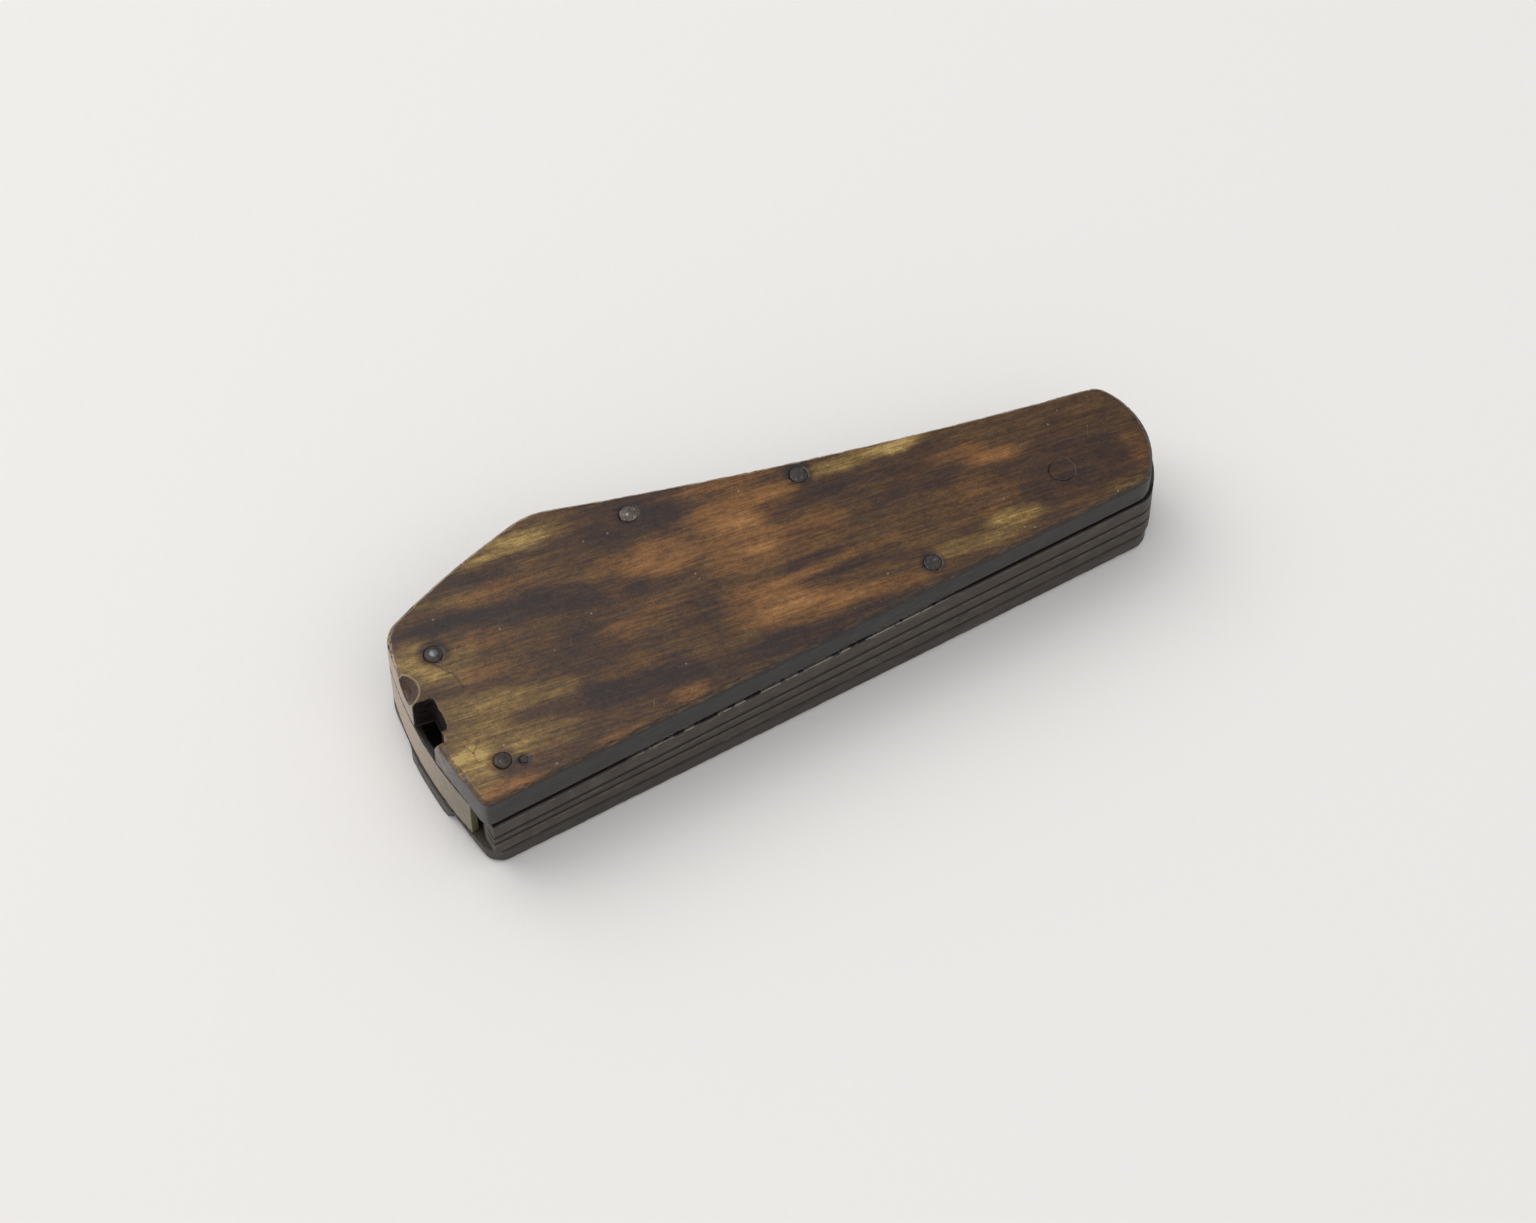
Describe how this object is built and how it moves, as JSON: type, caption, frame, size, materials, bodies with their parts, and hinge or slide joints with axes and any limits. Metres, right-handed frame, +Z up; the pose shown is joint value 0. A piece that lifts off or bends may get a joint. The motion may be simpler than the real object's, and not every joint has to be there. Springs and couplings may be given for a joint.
{
  "type": "fleam",
  "caption": "Old folding fleam: graded steel bloodletting blades with two-edged bits swing on one pin out of the open edge of a riveted dark horn case.",
  "frame": {"origin": "centre of the bottom of the whole part's box, on the surface it rests on", "axes": "+X runs along the case from the broad end to the pivot end and is the longest extent, +Y runs across from the open edge towards the peak of the back, +Z is up through the layers and is the shortest extent"},
  "size_m": [0.0846, 0.0294, 0.0131],
  "materials": {
    "top_horn": "worn polished mottled horn",
    "bottom_horn": "worn dark horn",
    "spacer_horn": "dull sawn horn",
    "plug_horn": "dull brown horn",
    "liner_iron": "dull browned sheet iron",
    "bright_iron": "dome polished by handling",
    "worn_iron": "bright worn iron",
    "brown_iron": "browned iron",
    "dark_iron": "dark blue-grey iron",
    "blade_steel": "dull browned steel"
  },
  "bodies": {
    "case": {"top_scale": "top_horn", "top_liner": "liner_iron", "end_spacer": "spacer_horn", "back_spacer": "spacer_horn", "bottom_liner": "liner_iron", "bottom_scale": "bottom_horn", "corner_rivet": "bright_iron", "middle_rivet": "worn_iron", "back_rivet": "dark_iron", "top_end_pin": "brown_iron", "top_edge_pin": "dark_iron", "bottom_end_pin": "brown_iron", "bottom_edge_pin": "brown_iron", "top_peg": "plug_horn", "pivot_pin": "dark_iron", "top_pivot_plug": "plug_horn", "bottom_pivot_plug": "plug_horn"},
    "large_blade": {"large_blade": "blade_steel"},
    "middle_blade": {"middle_blade": "blade_steel"},
    "small_blade": {"small_blade": "blade_steel"}
  },
  "joints": [
    {"name": "large_blade_pivot", "type": "hinge", "parent": "case", "child": "large_blade", "pos_m": [0.03104, -0.00898, 0.00785], "axis": [0, 0, 1], "range_deg": [0, 180]},
    {"name": "middle_blade_pivot", "type": "hinge", "parent": "case", "child": "middle_blade", "pos_m": [0.03104, -0.00898, 0.00565], "axis": [0, 0, 1], "range_deg": [0, 180]},
    {"name": "small_blade_pivot", "type": "hinge", "parent": "case", "child": "small_blade", "pos_m": [0.03104, -0.00898, 0.00363], "axis": [0, 0, 1], "range_deg": [0, 180]}
  ]
}
